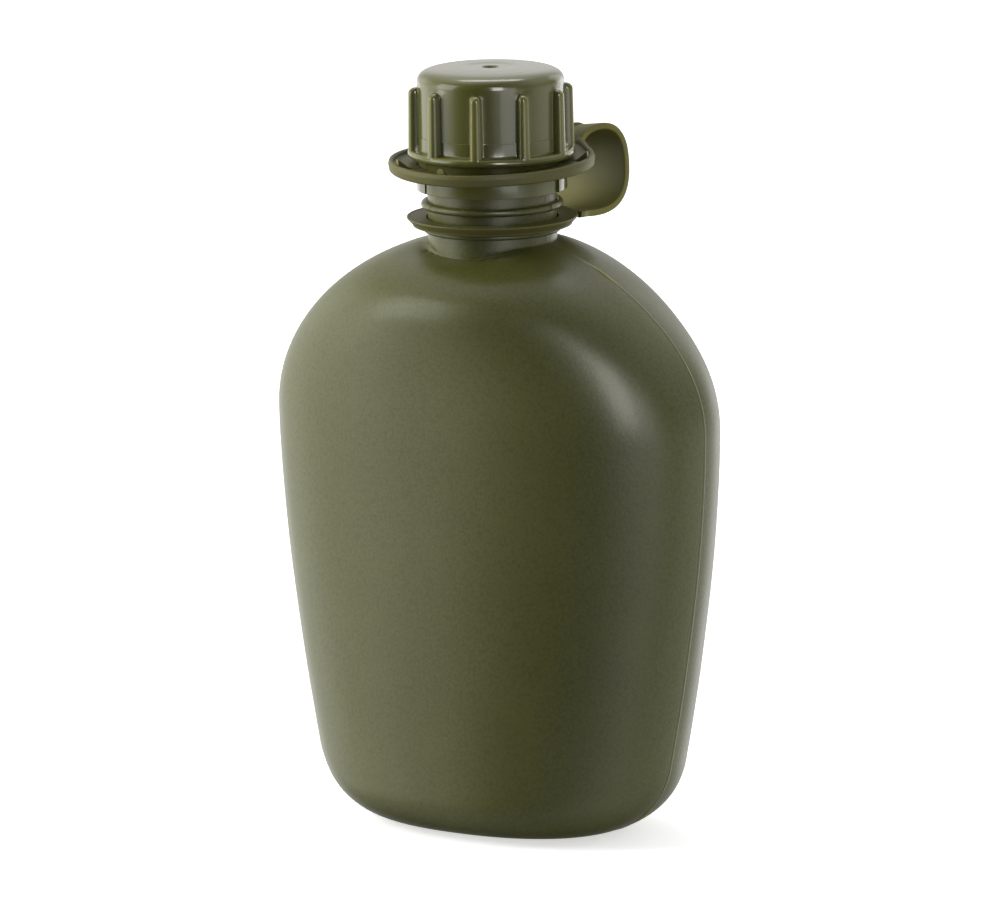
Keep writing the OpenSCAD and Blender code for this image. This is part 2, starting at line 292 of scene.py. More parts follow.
def grid_mesh(name, rings, thin, loop=False, sharp=40):
    """Mesh of a grid of points in millimetres.

    Each row of the grid is a closed ring and is joined to the next row by quads. With loop, the last row joins the
    first; without it, the first and the last row are closed with a fan to their middles. Faces point along ring
    direction x row direction. thin is a value per point, kept as an attribute of the mesh.
    """
    rows, cols = rings.shape[:2]
    index = np.arange(rows * cols).reshape(rows, cols)
    lower = index if loop else index[:-1]
    upper = np.roll(index, -1, 0) if loop else index[1:]
    faces = np.stack([lower, np.roll(lower, -1, 1), np.roll(upper, -1, 1), upper], -1).reshape(-1, 4).tolist()
    points = rings.reshape(-1, 3)
    thin = np.asarray(thin, float).reshape(-1)
    for row in () if loop else (index[0], index[-1]):
        after, centre = np.roll(row, -1), np.full(cols, len(points))
        points = np.vstack([points, points[row].mean(0)])
        thin = np.append(thin, thin[row].mean())
        faces += np.stack([centre, after, row] if row[0] == 0 else [row, after, centre], -1).tolist()
    mesh = bpy.data.meshes.new(name)
    mesh.from_pydata((points * MM).tolist(), [], faces)
    # The thin attribute is the mask of a painted glow: the finishes lighten the colour there, standing in for light
    # through thin plastic
    mesh.attributes.new("thin", "FLOAT", "POINT").data.foreach_set("value", thin.astype(np.float32))
    mesh.validate()
    mesh.polygons.foreach_set("use_smooth", np.ones(len(mesh.polygons), bool))
    mesh.set_sharp_from_angle(angle=math.radians(sharp))
    mesh.update()
    return mesh


def grid_normals(rings, loop=False):
    """Outward unit normals of a grid: the cross product of the step along the ring and the step along the rows."""
    along = np.roll(rings, -1, 1) - np.roll(rings, 1, 1)
    if loop:
        across = np.roll(rings, -1, 0) - np.roll(rings, 1, 0)
    else:
        across = np.gradient(rings, axis=0)
    n = np.cross(along, across)
    return n / np.maximum(np.linalg.norm(n, axis=2, keepdims=True), 1e-9)


def convexity(rings, loop=False, reach=0.5):
    """0 on flat and hollow places and 1 on sharp outer edges.

    It is how far each point stands out of the middle of its neighbours along the rows, divided by their distance.
    """
    n = grid_normals(rings, loop)
    after = np.roll(rings, -1, 0) - rings
    before = np.roll(rings, 1, 0) - rings
    if not loop:
        after[-1], before[0] = 0, 0
    la = np.maximum(np.linalg.norm(after, axis=2), 1e-4)
    lb = np.maximum(np.linalg.norm(before, axis=2), 1e-4)
    bend = -((after * n).sum(2) / la + (before * n).sum(2) / lb) / 2
    return unit(bend / reach)


def add_object(data):
    """Object of a mesh, a light or a camera, in the scene."""
    obj = bpy.data.objects.new(data.name, data)
    bpy.context.scene.collection.objects.link(obj)
    return obj


def put(mesh, body, nodes, slot):
    """Object of a mesh that rides a body, stands for nodes of the frame and has the finish of a material slot."""
    obj = add_object(mesh)
    mesh.materials.append(finish(slot + "_finish"))
    if body:
        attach(obj, body)
    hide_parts(*nodes)
    return obj


def evenly(count):
    """Angles spaced evenly round a turn."""
    return np.arange(count) * TURN / count


def columns(*angles, digits=7):
    """All the angles of some lists, in order and each once."""
    return np.unique(np.round(np.concatenate([np.ravel(part) for part in angles]) % TURN, digits))


def spread(outline, angles):
    """Radius and height of an outline at every angle."""
    return outline[:, :1] + 0 * angles, outline[:, 1:] + 0 * angles


def turned(r, angles, z):
    """Points at radius r and height z in the direction of each angle."""
    return np.stack([r * np.cos(angles), r * np.sin(angles), z], -1)


# -------- the bottle's form


def corner(z, height, inward):
    """How far a rounded corner turns in at height z: a quarter of an ellipse."""
    c = unit((height - z) / height)
    return inward * (1 - np.sqrt(1 - c * c))


def shoulder(z, start, top, rise, swell):
    """Share of the way out from the neck: (1 - s to the rise) to the power 1 / swell, s from 0 at start to 1 at top."""
    s = unit((z - start) / (top - start))
    return np.maximum(1 - s**rise, 0) ** (1 / swell)


def taper(z):
    """Width lost on one side between the widest place and height z."""
    return BASE_TAPER / 2 * unit((WIDEST_Z - z) / WIDEST_Z) ** SIDE_BOW


def body_xy(z, t, inset=0.0):
    """Point of the body's skin at height z and parameter t, moved inwards by inset.

    Each level is a superellipse whose power eases from a circle's at the neck to a squarer one below, with its own
    half depth in front and behind, and the back is pressed in by a hollow.
    """
    neck_share = ease((SHOULDER_Z - z) / NECK_BLEND)
    power = 2 / (2 + (SQUARE_ROUND - 2) * neck_share)
    swell = shoulder(z, WIDEST_Z, SHOULDER_Z, SHOULDER_RISE, SHOULDER_SWELL)
    half_w = BODY_TOP_R + (BODY_W / 2 - BODY_TOP_R) * swell - taper(z) - corner(z, CORNER_H, CORNER_IN)
    start, turned_in = SHOULDER_Z - DEPTH_DROP, corner(z, EDGE_H, EDGE_IN)
    face_top = SHOULDER_Z - FACE_DROP * unit(-np.sin(t)) ** 2
    front_share = shoulder(z, start, face_top, DEPTH_RISE, DEPTH_SWELL)
    back_share = shoulder(z, start, SHOULDER_Z, DEPTH_RISE, DEPTH_SWELL)
    front = BODY_TOP_R + (BODY_FRONT - BODY_TOP_R) * front_share - FRONT_TAPER * taper(z) - turned_in
    back = BODY_TOP_R + (BODY_BACK - BODY_TOP_R) * back_share - BACK_TAPER * taper(z) - turned_in
    behind = np.sin(t) > 0
    x = (half_w - inset) * raise_to(np.cos(t), power)
    y = (np.where(behind, back, front) - inset) * raise_to(np.sin(t), power) + BACK_SHIFT * neck_share
    across = (1 - unit(np.abs(x) / HOLLOW_HALF) ** 2) ** 2
    hollow = BACK_HOLLOW * ease((z - 10) / 35) * ease((SHOULDER_Z - 22 - z) / 45) * across
    return x, np.where(behind, y - hollow, y)


def meeting_height(t, radius, inset=0.0):
    """Height at which the body's skin is a given distance from the axis, found by halving."""
    low, high = np.full_like(t, 140.0), np.full_like(t, SHOULDER_Z)
    for _ in range(40):
        middle = (low + high) / 2
        outside = np.hypot(*body_xy(middle, t, inset)) > radius
        low, high = np.where(outside, middle, low), np.where(outside, high, middle)
    return (low + high) / 2


def evened(values, t):
    """Values round the bottle, each averaged with its neighbours by a bell half CREASE_SPREAD wide."""
    offsets = np.linspace(-CREASE_SPREAD, CREASE_SPREAD, 31)
    weights = hump(offsets, 0, CREASE_SPREAD)
    near = np.interp((t[:, None] + offsets) % TURN, t, values, period=TURN)
    return near @ weights / weights.sum()


def bead_points(at_r, section_r, z, steps=9):
    """Outline of a round bead that stands out of the neck, from its lower foot to its upper foot."""
    foot = math.acos((NECK_R - at_r) / section_r)
    a = np.linspace(-foot, foot, steps)
    return np.stack([at_r + section_r * np.cos(a), z + section_r * np.sin(a)], 1)


def neck_profile():
    """Outside of the neck from just above the shoulder to the lip, and over the lip into the bore."""
    step_z = CAP_Z + 1.3
    lower = np.vstack([
        bead_points(NECK_R + 0.5, 0.8, 164.4),
        [[NECK_R, 166.0], [NECK_R, 168.2], [NECK_R, 169.9]],
        bead_points(NECK_R + 0.75, 1.05, 171.1, 13),
        [[NECK_R, 172.4], [NECK_R, 174.5], [NECK_R, step_z], [UPPER_NECK_R, step_z + 1.5]],
    ])
    thread_rows = np.arange(LIP_Z - 24.0, LIP_Z - 5.2, 0.42)
    threads = np.stack([np.full_like(thread_rows, UPPER_NECK_R), thread_rows], 1)
    lip = rounded(
        [(UPPER_NECK_R, LIP_Z - 3), (UPPER_NECK_R, LIP_Z), (BORE_R, LIP_Z), (BORE_R, LIP_Z - 3)], [0, 0.5, 0.6, 0], 4
    )
    return np.vstack([lower, threads, lip])


def thread(angle, z, start, length):
    """Height of a thread: a trapezoid round a helix that is length turns long and fades out at its ends."""
    share = (angle % TURN) / TURN
    turns = (z - start) / THREAD_PITCH - share
    nearest = np.clip(np.round(turns), 0, math.ceil(length) - 1)
    away = np.abs(turns - nearest) * THREAD_PITCH
    fade = ease(np.minimum(nearest + share, length - nearest - share) / 0.2)
    return THREAD_H * unit((1.05 - away) / 0.45) * fade


def bottle_grid(flash_h, dish):
    """Grid of the whole bottle, from the middle of its base, up its outside, over the lip and down its inside."""
    # off: distance in t from the nearer parting line, at 0 or half a turn
    seam_steps = np.array([0.0028, 0.0055, 0.009, 0.013, 0.02])
    seam_t = np.concatenate([-seam_steps, seam_steps])
    t = columns(evenly(300), seam_t, seam_t + math.pi, digits=9)
    off = np.minimum(np.abs(angle_off(t, 0)), np.abs(angle_off(t, math.pi)))

    # Outside of the body, up to where it meets the neck
    meet = evened(meeting_height(t, NECK_R), t)
    v = np.linspace(0, 1, 112)[:, None]
    z = meet * (1 - np.cos(math.pi * v)) / 2
    x, y = body_xy(z, t)
    r = np.hypot(x, y)
    pull = 1 + (NECK_R - r[-1]) * ease((z - meet) / CREASE_REACH + 1) / r
    x, y = x * pull, y * pull
    mx, my = x[-1], y[-1]
    polar = np.unwrap(np.arctan2(my, mx))
    side = np.stack([x, y, z], -1)

    # Base: the lowest ring drawn in towards its middle, with a raised dish
    share = np.array([0.04, 0.12, 0.22, 0.33, 0.44, 0.52, 0.58, 0.64, 0.7, 0.76, 0.82, 0.88, 0.94])[:, None]
    middle = np.array([0.0, BACK_SHIFT])
    base_z = dish * (1 - ease((share - 0.5) / 0.32)) + 0 * t
    base = np.concatenate([middle + share[..., None] * (side[0, :, :2] - middle), base_z[..., None]], -1)
    outside = np.concatenate([base, side])

    # The parting line, with thicker flash near the shoulder and at the bottom corner
    normal = grid_normals(outside)
    level = outside[..., 2]
    on_base = (np.arange(len(outside)) < len(base))[:, None]
    width = 0.009 + 0.011 * ease((level - 140) / 20)
    ridge = unit(1 - (off / width) ** 2)
    uneven = 0.75 + 0.25 * np.sin(level * 0.9 + 1.3) * np.sin(level * 0.23)
    right = np.abs(angle_off(t, 0)) < 0.1
    flash = right * sum(share * hump(level, at, half) for at, half, share in FLASHES)
    height = SEAM_H * uneven * (1 - 0.5 * on_base) + flash_h * flash * (~on_base)
    waves = np.sin(outside[..., 0] * 0.11 + 0.6) * np.sin(level * 0.083 + 1.1) + 0.6 * np.sin(level * 0.19)
    waves = WAVE_H * waves * ease(level / 25) * ease((150 - level) / 20)
    outside = outside + normal * (ridge * height - 0.05 + waves - 0.03)[..., None] * (~on_base)[..., None]
    outside[..., 2] -= (ridge * height * on_base * ease((share.max() - 0.1) / 1.0)) * 0.4
    outside[..., 2] = np.maximum(outside[..., 2], 0)
    # Painted glow: the parting line's ridge and its flash get the lighter flash colour, standing in for light shining
    # through the thin plastic
    thin = ridge * unit(0.06 + 1.4 * flash) * (~on_base)

    # Neck, whose columns rise straight from where the body meets it
    foot = np.array([0.015, 0.3, 0.65])[:, None]
    foot_z = meet * (1 - foot) + 163.3 * foot
    profile_r, profile_z = spread(neck_profile(), t)
    neck_z = np.concatenate([foot_z, profile_z])
    neck_r = np.concatenate([np.full_like(foot_z, NECK_R), profile_r])
    threaded = (neck_z > LIP_Z - 25) & (np.abs(neck_r - UPPER_NECK_R) < 0.01)
    neck_r = neck_r + np.where(threaded, thread(polar + 0 * neck_z, neck_z, THREAD_Z, 3), 0)
    outer_wall = (neck_z < CAP_Z + 2.8) & (neck_r > NECK_R - 0.01)
    neck_ridge = 0.09 * unit(1 - (off / 0.02) ** 2)
    nick = 0.22 * hump(angle_off(polar, math.radians(-118.5)), 0, 0.05) * hump(neck_z, 171.6, 1.0)
    nick = nick + 0.25 * hump(angle_off(polar, 0), 0, 0.045) * hump(neck_z, 171.4, 1.1)
    neck_r = neck_r + np.where(outer_wall, neck_ridge + nick, 0)
    neck = turned(neck_r, polar, neck_z)

    # Bore and inside, which follows the outside one wall further in
    inner_meet = meeting_height(t, BORE_R, WALL)

    def inner_height(level):
        return WALL + level * (SHOULDER_Z - 2 * WALL) / SHOULDER_Z

    ix, iy = body_xy(inner_meet, t, WALL)
    inner_polar = np.unwrap(np.arctan2(iy, ix))
    down = np.linspace(0, 1, 6)[1:-1, None]
    bore_polar = polar * (1 - down) + inner_polar * down
    bore_z = (LIP_Z - 3) * (1 - down) + inner_height(inner_meet) * down
    bore = turned(BORE_R, bore_polar, bore_z)
    v = np.linspace(1, 0, 34)[:, None]
    z = inner_meet * (1 - np.cos(math.pi * v)) / 2
    x, y = body_xy(z, t, WALL)
    inside = np.stack([x, y, inner_height(z)], -1)
    shrink = np.array([0.8, 0.5, 0.2])[:, None, None]
    floor = inside[-1:] * [1, 1, 0] * shrink + [0, 0, WALL]
    rings = np.concatenate([outside, neck, bore, inside, floor])
    thin = np.concatenate([thin, np.zeros((len(rings) - len(thin), len(t)))])
    return rings, thin


# -------- the cap's form


def cap_outside():
    """Outside of the cap as (radius, height), from the skirt's inner edge up to the crown."""
    low_r = CAP_R + 0.1
    corners = [(CAP_BORE_R, CAP_Z + 3), (CAP_BORE_R, CAP_Z), (LIP_R, CAP_Z), (LIP_R, GROOVE_LOW)]
    corners += [(GROOVE_R, GROOVE_LOW), (GROOVE_R, GROOVE_HIGH), (FLANGE_R, GROOVE_HIGH)]
    corners += [(FLANGE_R, FLANGE_TOP), (low_r, FLANGE_TOP), (low_r, STEP_Z)]
    skirt = rounded(corners, [0, 0.2, 0.22, 0.2, 0.1, 0.35, 1.1, 1.1, 0.7, 0], 6)[1:]
    line = [(low_r, STEP_Z + 0.04), (CAP_R - 0.06, STEP_Z + 0.12), (CAP_R - 0.05, STEP_Z + 0.3)]
    line += [(CAP_R, STEP_Z + 0.5), (CAP_R, RIB_TOP - 6.0), (CAP_R, RIB_TOP - 1.75)]
    inner_r = [MARK_R + 0.2, MARK_R, MARK_R - 0.2, 13.5, 11, 9, 8.2, 7.4, 6.5, 5.6, 4.8, 4, 3.2]
    inner_r += [GATE_R + 0.25, GATE_R, GATE_R - 0.2, 1.2, 0.4]
    disc_r = np.concatenate([np.linspace(CROWN_EDGE, 14.4, 16), inner_r])
    disc_z = CAP_TOP + CROWN_LIFT - disc_r**2 / (2 * CROWN_R) - CROWN_FALL * (disc_r / CAP_R) ** CROWN_POWER
    disc_z -= CROWN_DISH * (1 - ease((disc_r - 4.5) / 4))
    edge_slope = CROWN_FALL * CROWN_POWER / CAP_R * (CROWN_EDGE / CAP_R) ** (CROWN_POWER - 1)
    lean = math.atan(CROWN_EDGE / CROWN_R + edge_slope)
    radius = (CAP_R - CROWN_EDGE) / (1 - math.sin(lean))
    round_z = disc_z[0] - radius * math.cos(lean)
    disc_z -= 0.04 * (np.abs(disc_r - MARK_R) < 0.01)
    disc_z -= GATE_DEPTH * ease((GATE_R + 0.1 - disc_r) / 0.3)
    tip = RIB_TOP - RIB_TIP + RIB_TIP * np.sin(np.linspace(0, math.pi / 2, 9))
    above = np.maximum(tip - round_z, 0)
    wall = np.stack([CAP_R - radius + np.sqrt(radius**2 - above**2), tip], 1)
    a = np.linspace(math.asin(max(RIB_TOP + 0.08 - round_z, 0) / radius), math.pi / 2 - lean, 22)[:-1]
    arc = np.stack([CAP_R - radius + radius * np.cos(a), round_z + radius * np.sin(a)], 1)
    top = np.vstack([arc, np.stack([disc_r, disc_z], 1)])
    return np.vstack([skirt, line, wall, top[top[:, 1] > RIB_TOP + 0.05]])


def cap_inside():
    """Inside of the cap as (radius, height), from the middle of its roof down its threaded wall."""
    roof = rounded([(0.5, ROOF_Z), (CAP_BORE_R, ROOF_Z), (CAP_BORE_R, ROOF_Z - 3)], [0, 0.6, 0], 5)
    rows = np.arange(LIP_Z - 6.0, LIP_Z - 25.5, -0.45)
    return np.vstack([[(0.5, ROOF_Z), (8, ROOF_Z)], roof[1:-1], np.stack([np.full_like(rows, CAP_BORE_R), rows], 1)])


def cap_grid():
    """Grid of the whole cap, from the middle of the roof inside, round the skirt, to the middle of the crown.

    A rib is a superellipse |u / half|^n + |v / rise|^n = 1 across its width u, with v standing out of the wall. Its
    columns draw together where the tip narrows, so that the tip stays round.
    """
    share = np.array([0, 0.3, 0.55, 0.75, 0.88, 0.95, 0.985, 1.0])
    u = np.concatenate([share * RIB_HALF, [RIB_HALF + 0.15, RIB_HALF + 0.45]])
    u = np.concatenate([-u[:0:-1], u]) / CAP_R
    pitch = TURN / RIBS
    gap = np.linspace(u[-1], pitch - u[-1], 9)[1:-1]
    one = np.concatenate([u, gap])
    angles = RIB_PHASE + np.arange(RIBS)[:, None] * pitch + one
    slot_half = np.array(SLOT_WIDTHS) / 2 / LIP_R
    slot_at = SLOT_PHASE + evenly(SLOTS)
    edges = slot_at[:, None] + np.array([-1, 1, -1, 1]) * slot_half[:, None] + np.array([-1, -1, 1, 1]) * 0.0008
    angles = columns(angles, edges)

    rib_at = RIB_PHASE + np.round((angles - RIB_PHASE) / pitch) * pitch
    off = (angles - rib_at) * CAP_R
    rise = RIB_RISE * np.maximum(1 - (np.abs(off) / RIB_HALF) ** RIB_POWER, 0) ** (1 / RIB_POWER)
    fillet = 0.2 * unit(1 - (np.abs(off) - RIB_HALF) / 0.45) ** 2
    rise = np.maximum(rise, fillet)

    inside, outer = cap_inside(), cap_outside()
    profile = np.vstack([inside, outer])
    is_inside = (np.arange(len(profile)) < len(inside))[:, None]
    r, z = spread(profile, angles)

    # Ribs
    up = unit((z - FLANGE_TOP) / (RIB_TOP - FLANGE_TOP))
    tip = np.sqrt(unit(1 - unit((z - RIB_TOP + RIB_TIP) / RIB_TIP) ** 2))
    ribbed = ~is_inside & (z > GROOVE_HIGH + 0.4) & (z < RIB_TOP + 0.01)
    narrow = np.where(ribbed, (1 - 0.13 * up) * (0.25 + 0.75 * tip), 1)
    narrow = np.where(~is_inside & (z > RIB_TOP), 0.25 + 0.75 * ease((z - RIB_TOP) / 2.0), narrow)
    in_rib = np.abs(off) <= RIB_HALF + 0.5
    spare = pitch * CAP_R / 2 - np.abs(off)
    moved = np.where(in_rib, off * narrow, np.sign(off) * (pitch * CAP_R / 2 - spare * (1 + (1 - narrow) * 0.25)))
    at = rib_at + moved / CAP_R
    rib_r = CAP_R + rise * (1 - 0.1 * up) * tip
    r = np.where(ribbed, np.maximum(r, rib_r), r)

    # Thread and slots
    threaded = is_inside & (np.abs(r - CAP_BORE_R) < 0.01) & (z < LIP_Z - 5)
    r = np.where(threaded, r - thread(at, z, THREAD_Z + THREAD_PITCH / 2, 1.5), r)
    in_slot = (np.abs(angle_off(angles[:, None], slot_at)) < slot_half).any(1)
    r = np.where(in_slot & (z < SLOT_TOP) & (r > GROOVE_R - 0.2), GROOVE_R - 0.2, r)
    # Painted highlight: the crests of the ribs are marked for the lighter thin-edge colour, standing in for light on
    # and through them
    crest_glow = np.where(ribbed & (z > FLANGE_TOP - 0.5), unit((r - CAP_R - 0.9) / 1.4), 0)
    return turned(r, at, z), crest_glow


def merge_points(mesh):
    """Joins points that lie on one another, which also removes faces without area."""
    work = bmesh.new()
    work.from_mesh(mesh)
    bmesh.ops.remove_doubles(work, verts=work.verts, dist=1e-6)
    bmesh.ops.dissolve_degenerate(work, edges=work.edges, dist=1e-7)
    work.to_mesh(mesh)
    work.free()


# -------- the strap's form


def tilt_ring(points):
    """Tilts the cap's ring about the middle of its groove, up at the band."""
    c, s = math.cos(RING_TURN), math.sin(RING_TURN)
    x, y, z = points[..., 0], points[..., 1], points[..., 2] - RING_MID_Z
    u, v = x * c + y * s, -x * s + y * c
    ct, st = math.cos(RING_TILT), math.sin(RING_TILT)
    u, z = u * ct - z * st, u * st + z * ct
    return np.stack([u * c - v * s, u * s + v * c, z + RING_MID_Z], -1)


def cap_ring_grid(band_turn, band_w):
    """Grid of the ring on the cap: a flat floor with an upstanding rim that opens where the band leaves it.

    The floor bends up a little towards the band, and three wedges stand between the floor and the rim.
    """
    floor_r = np.array([22.5, 23.9, 24.6, 25.3, 25.9])
    corners = [(RING_BORE, -0.75), (26.5, -0.75), (26.5, -1.1), (27.1, -1.5), (27.75, -1.0), (RING_R, 0.7)]
    corners += [(27.65, 1.8), (26.75, 1.8), (26.5, 1.35), (26.5, 0.75)]
    corners += [(r, 0.75) for r in floor_r[::-1]] + [(RING_BORE, 0.75)]
    radii = [0.25, 0.25, 0.15, 0.3, 0.3, 0.5, 0.28, 0.28, 0.1, 0.4] + [0] * len(floor_r) + [0.25]
    section = rounded(corners, radii, 4, closed=True)

    half = band_w / 2 / RING_R
    fin_steps = np.array([-1.0, -0.9, -0.75, -0.4, 0, 0.4, 0.75, 0.9, 1.0]) * FIN_HALF / FIN_R
    gap_edges = band_turn + half * np.array([-1.06, -1.02, -0.98, -0.94, 0.94, 0.98, 1.02, 1.06])
    a = columns(evenly(240), FIN_TURNS[:, None] + fin_steps, gap_edges)

    r, z = spread(section, a)
    opened = ease((1.1 - np.abs(angle_off(a, band_turn)) / half) / 0.16)
    flat = np.clip(z, -0.75, 0.75)
    r = r - opened * np.clip(r - 26.3, 0, 2) * 0.55
    z = z * (1 - opened) + flat * opened
    across = np.abs(angle_off(a[:, None], FIN_TURNS)).min(1) * FIN_R / FIN_HALF
    wedge = 0.75 + unit((r - 23.3) / 3.1) * FIN_RISE * np.maximum(1 - unit(across) ** 4, 0) ** 0.5
    z = np.where((z > 0.6) & (r < 26.72) & (across < 1), np.maximum(z, wedge), z)
    outward = (r - RING_BORE) / (RING_R - RING_BORE)
    z = z + RING_BEND * hump(angle_off(a, band_turn), 0, math.radians(62)) * outward**1.5
    z = z + 0.6 * hump(angle_off(a, math.radians(-150)), 0, math.radians(75)) * unit(outward)
    z = z + 1.6 * hump(np.abs(angle_off(a, band_turn)), half * 1.05, math.radians(16)) * unit(outward) ** 3
    return tilt_ring(turned(r, a, z + RING_MID_Z))


def neck_ring_grid():
    """Grid of the ring on the neck: flat on top and undercut below, with a thin raised edge and a gate mark."""
    low, high = NECK_RING_LOW[2], NECK_RING_HIGH[2]
    outer = NECK_RING_HIGH[0]
    corners = [(NECK_RING_BORE, low), (outer - 1.6, low), (outer - 1.45, low + 0.55), (outer - 0.05, high - 0.45)]
    corners += [(outer, high), (outer - 0.4, high), (outer - 0.75, high - 0.16), (NECK_RING_BORE, high - 0.16)]
    section = rounded(corners, [0.25, 0.3, 0.2, 0.2, 0.12, 0.12, 0.2, 0.25], 4, closed=True)
    a = columns(evenly(200), np.radians([3.2, 3.6, 4, 4.4, 4.8]))
    r, z = spread(section, a)
    nib = 0.3 * hump(angle_off(a, math.radians(4)), 0, math.radians(0.9)) * hump(z, high - 1.1, 0.9) * (r > outer - 1.7)
    r = np.minimum(r + nib, outer)
    return turned(r, a, z)


def bezier(p0, p1, p2, p3, u):
    """Points of the cubic curve that leaves p0 towards p1 and reaches p3 from p2."""
    return (1 - u) ** 3 * p0 + 3 * u * (1 - u) ** 2 * p1 + 3 * u * u * (1 - u) * p2 + u**3 * p3


def band_line():
    """Middle line of the band as (distance from the axis, height): two cubic curves that meet at its far point."""
    start = np.array([NECK_RING_HIGH[0] - 2.4, NECK_RING_HIGH[2] - BAND_T / 2 - 0.1])
    far = np.array([41.0, 178.6])
    end = np.array([RING_R - 3.0, RING_MID_Z + RING_R * math.sin(RING_TILT) + 0.6 * RING_BEND])
    u = np.linspace(0, 1, 41)[:, None]
    lower = bezier(start, start + [11.6, -3.6], far + [0, -14.2], far, u)
    upper = bezier(far, far + [0, 9.2], end + [6.0, 6.6], end, u)
    return np.vstack([lower, upper[1:]])


def band_grid(width, low_turn, high_turn, twist):
    """Grid of the band: a rounded oblong carried along its middle line.

    Its direction turns evenly from the neck's ring to the cap's ring, its far side sinks by the twist in between, and
    it widens into both rings. A short stiffening ridge stands on its top near the cap's ring.
    """
    line = band_line()
    step = np.gradient(line, axis=0)
    travel = np.concatenate([[0], np.cumsum(np.linalg.norm(np.diff(line, axis=0), axis=1))])
    k = travel / travel[-1]
    along = step / np.linalg.norm(step, axis=1, keepdims=True)
    out = np.stack([along[:, 1], -along[:, 0]], 1)
    turn = low_turn + (high_turn - END_TURN - low_turn) * ease(k) + END_TURN * ease((k - 0.75) / 0.25)
    lean = twist * np.sin(math.pi * k) ** 0.7

    near, far, t, r = -width / 2, width / 2 + BAND_FAR, BAND_T / 2, 0.42
    corners = rounded([(near, t), (far, t), (far, -t), (near, -t)], [r] * 4, 4, closed=True)
    ridge_w = RIDGE_W + np.array([-0.9, -0.7, -0.45, -0.2, 0.2, 0.45, 0.7, 0.9])
    top_w = np.unique(np.concatenate([np.linspace(near + 1, far - 1, 26), ridge_w]))
    top = np.stack([top_w, np.full_like(top_w, t)], 1)
    section = np.vstack([corners[:5], top, corners[5:15], top[::-1] * [1, -1], corners[15:]])
    w, o = section[:, 0][None] + 0 * k[:, None], section[:, 1][None] + 0 * k[:, None]
    # Painted glow: share of the lighter thin-edge colour, 0.2 on the band's faces and 1 at its long edges, standing in
    # for light through the plastic
    edge = np.maximum(0.2, unit((np.maximum(near - w, w - far) + 1.4 * r) / (1.2 * r)))

    on_top = (o > 0) & (np.abs(w - RIDGE_W) < 1)
    ridge = 0.8 * (hump(k, RIDGE_K, 0.05) ** 0.3)[:, None] * hump(w, RIDGE_W, 0.9) ** 0.5 * on_top
    spread_near = 1.6 * hump(travel, 0.5, 4.0) + 0.6 * hump(travel, travel[-1], 6.5)
    spread_far = 0.8 * hump(travel, 0.5, 4.0) + 0.8 * hump(travel, travel[-1], 4.5)
    w = w + np.where(w < 0, w / near * -spread_near[:, None], w / far * spread_far[:, None])
    slim = 1 - 0.25 * ease((k - 0.965) / 0.035) - 0.1 * ease((0.03 - k) / 0.03)
    o = o * slim[:, None] + ridge
    c, s = np.cos(turn)[:, None], np.sin(turn)[:, None]
    sideways, sink = w * np.cos(lean)[:, None], w * np.sin(lean)[:, None]
    radial = line[:, :1] + o * out[:, :1]
    x = radial * c - sideways * s
    y = radial * s + sideways * c
    z = line[:, 1:] + o * out[:, 1:] - sink
    return np.stack([x, y, z], -1), edge


# -------- finishes

# Roughness, share of pebbles in the grain and in its painted shade, handling marks, share of the painted glow on thin
# edges, gloss
FINISHES = {
    "body_plastic_finish": (0.42, 0.62, 0.35, 1.0, (0.36, 0.35, 0.26)),
    "cap_plastic_finish": (0.2, 0.2, 0.5, 0.45, (0.35, 0.65, 0.13)),
    "strap_plastic_finish": (0.5, 0.3, 0.4, 0.6, (0.3, 0, 0.1)),
    "gasket_rubber_finish": (0.72, 0.2, 0.4, 0.3, (0.5, 0, 0.1)),
}


def new_group(name, inputs, outputs):
    """Empty shader group with named number inputs and named outputs."""
    group = bpy.data.node_groups.new(name, "ShaderNodeTree")
    for label, value in inputs.items():
        socket = group.interface.new_socket(label, in_out="INPUT", socket_type="NodeSocketFloat")
        socket.default_value = value
    for label in outputs:
        group.interface.new_socket(label, in_out="OUTPUT", socket_type="NodeSocketFloat")
    return group, group.nodes.new("NodeGroupInput"), group.nodes.new("NodeGroupOutput")


def feed(node, inputs):
    """Links a node's inputs, by name or number, to other nodes' outputs, or gives them their values."""
    for key, value in inputs.items():
        if isinstance(value, bpy.types.NodeSocket):
            node.id_data.links.new(value, node.inputs[key])
        else:
            node.inputs[key].default_value = value


def add_node(tree, kind, inputs, **settings):
    """Shader node of a kind with its own inputs and settings."""
    node = tree.nodes.new("ShaderNode" + kind)
    for key, value in settings.items():
        setattr(node, key, value)
    feed(node, inputs)
    return node


def calc(tree, operation, a, b, clamp=False):
    """Output of a math node whose inputs are numbers or sockets."""
    return add_node(tree, "Math", {0: a, 1: b}, operation=operation, use_clamp=clamp).outputs[0]


def noise(tree, vector, scale, detail, **values):
    """Output of a noise texture on a vector."""
    return add_node(tree, "TexNoise", {"Vector": vector, "Scale": scale, "Detail": detail, **values}).outputs["Fac"]


def mix_colour(tree, factor, a, b):
    """Colour mix of two colours or sockets by a factor."""
    return add_node(tree, "Mix", {0: factor, 6: a, 7: b}, data_type="RGBA").outputs[2]


